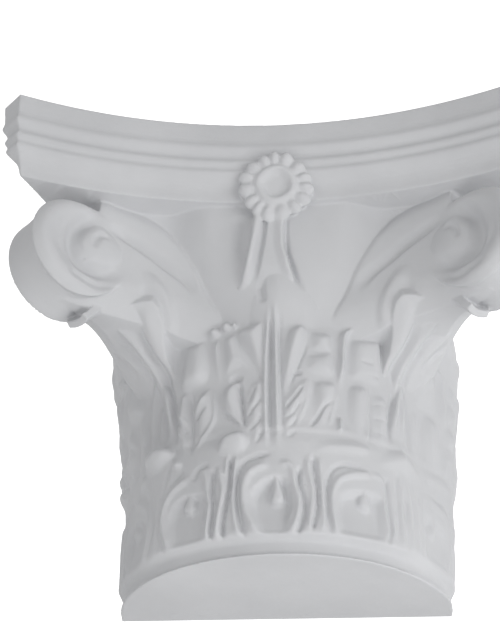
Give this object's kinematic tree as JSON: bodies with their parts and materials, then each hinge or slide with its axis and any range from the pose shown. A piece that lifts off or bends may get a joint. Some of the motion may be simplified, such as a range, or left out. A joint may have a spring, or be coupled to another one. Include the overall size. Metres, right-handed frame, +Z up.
{
  "type": "half-round capital corbel",
  "caption": "Half-round leafed capital with corner scrolls, a hollowed moulded slab and a daisy, cast in plaster to stand against a wall",
  "frame": {"origin": "centre of the flat back, half way up", "axes": "+X to the viewer's right along the wall, +Y into the wall, +Z up; the front faces -Y"},
  "size_m": [0.3886, 0.1943, 0.322],
  "materials": {
    "plaster": "matt white plaster, softly worn"
  },
  "bodies": {
    "root": {"corbel": "plaster"}
  },
  "joints": []
}
